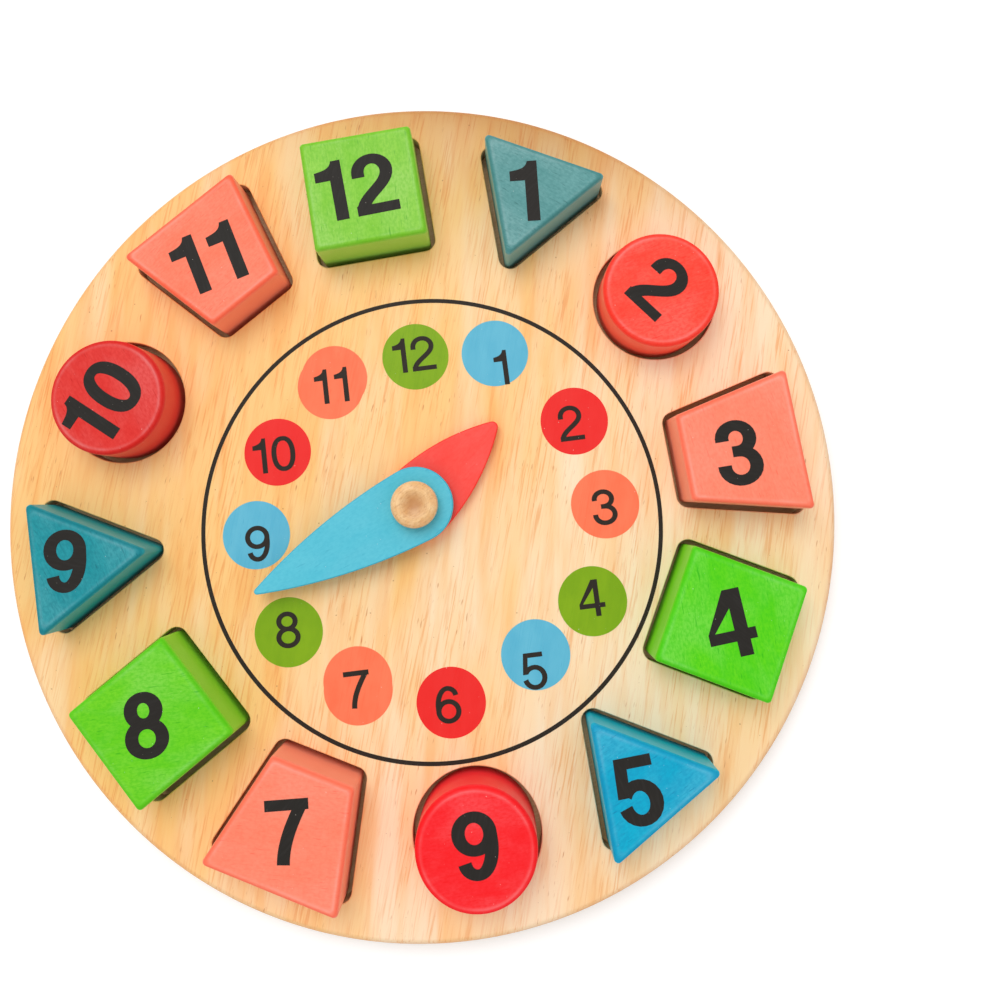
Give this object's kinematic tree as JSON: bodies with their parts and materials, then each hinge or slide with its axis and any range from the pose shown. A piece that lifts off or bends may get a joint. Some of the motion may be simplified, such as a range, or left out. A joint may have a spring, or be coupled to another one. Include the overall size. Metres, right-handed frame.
{
  "type": "shape-sorting teaching clock",
  "caption": "Round wooden teaching clock with loose shaped number blocks in pockets round the dial and hands that turn on a centre peg.",
  "frame": {"origin": "centre of the clock's back, on the surface that it lies on", "axes": "+Z out of the face along the peg, +Y towards twelve, +X towards three"},
  "size_m": [0.22, 0.22, 0.021],
  "materials": {
    "board_wood": "clear satin lacquer on pale wood",
    "panel_wood": "bare sanded plywood",
    "peg_wood": "clear satin lacquer on turned wood",
    "hand_red": "satin paint",
    "hand_blue": "satin paint",
    "block_green": "satin stain and lacquer",
    "block_blue": "satin stain and lacquer",
    "block_red": "satin stain and lacquer",
    "block_coral": "satin stain and lacquer",
    "print_black": "matt printing ink",
    "print_green": "matt printing ink",
    "print_blue": "matt printing ink",
    "print_red": "matt printing ink",
    "print_coral": "matt printing ink"
  },
  "bodies": {
    "clock": {"face_board": "board_wood", "back_panel": "panel_wood", "centre_peg": "peg_wood"},
    "hour_hand": {"hour_hand": "hand_red"},
    "minute_hand": {"minute_hand": "hand_blue"},
    "block_01": {"block_01": "block_blue"},
    "block_02": {"block_02": "block_red"},
    "block_03": {"block_03": "block_coral"},
    "block_04": {"block_04": "block_green"},
    "block_05": {"block_05": "block_blue"},
    "block_06": {"block_06": "block_red"},
    "block_07": {"block_07": "block_coral"},
    "block_08": {"block_08": "block_green"},
    "block_09": {"block_09": "block_blue"},
    "block_10": {"block_10": "block_red"},
    "block_11": {"block_11": "block_coral"},
    "block_12": {"block_12": "block_green"}
  },
  "joints": [
    {"name": "hour_hand_turn", "type": "hinge", "parent": "clock", "child": "hour_hand", "pos_m": [0, 0, 0.0108], "axis": [0, 0, 1], "continuous": true},
    {"name": "minute_hand_turn", "type": "hinge", "parent": "clock", "child": "minute_hand", "pos_m": [0, 0, 0.0141], "axis": [0, 0, 1], "continuous": true},
    {"name": "block_01_lift", "type": "slide", "parent": "clock", "child": "block_01", "axis": [0, 0, 1], "range_m": [0, 0.03]},
    {"name": "block_02_lift", "type": "slide", "parent": "clock", "child": "block_02", "axis": [0, 0, 1], "range_m": [0, 0.03]},
    {"name": "block_03_lift", "type": "slide", "parent": "clock", "child": "block_03", "axis": [0, 0, 1], "range_m": [0, 0.03]},
    {"name": "block_04_lift", "type": "slide", "parent": "clock", "child": "block_04", "axis": [0, 0, 1], "range_m": [0, 0.03]},
    {"name": "block_05_lift", "type": "slide", "parent": "clock", "child": "block_05", "axis": [0, 0, 1], "range_m": [0, 0.03]},
    {"name": "block_06_lift", "type": "slide", "parent": "clock", "child": "block_06", "axis": [0, 0, 1], "range_m": [0, 0.03]},
    {"name": "block_07_lift", "type": "slide", "parent": "clock", "child": "block_07", "axis": [0, 0, 1], "range_m": [0, 0.03]},
    {"name": "block_08_lift", "type": "slide", "parent": "clock", "child": "block_08", "axis": [0, 0, 1], "range_m": [0, 0.03]},
    {"name": "block_09_lift", "type": "slide", "parent": "clock", "child": "block_09", "axis": [0, 0, 1], "range_m": [0, 0.03]},
    {"name": "block_10_lift", "type": "slide", "parent": "clock", "child": "block_10", "axis": [0, 0, 1], "range_m": [0, 0.03]},
    {"name": "block_11_lift", "type": "slide", "parent": "clock", "child": "block_11", "axis": [0, 0, 1], "range_m": [0, 0.03]},
    {"name": "block_12_lift", "type": "slide", "parent": "clock", "child": "block_12", "axis": [0, 0, 1], "range_m": [0, 0.03]}
  ]
}
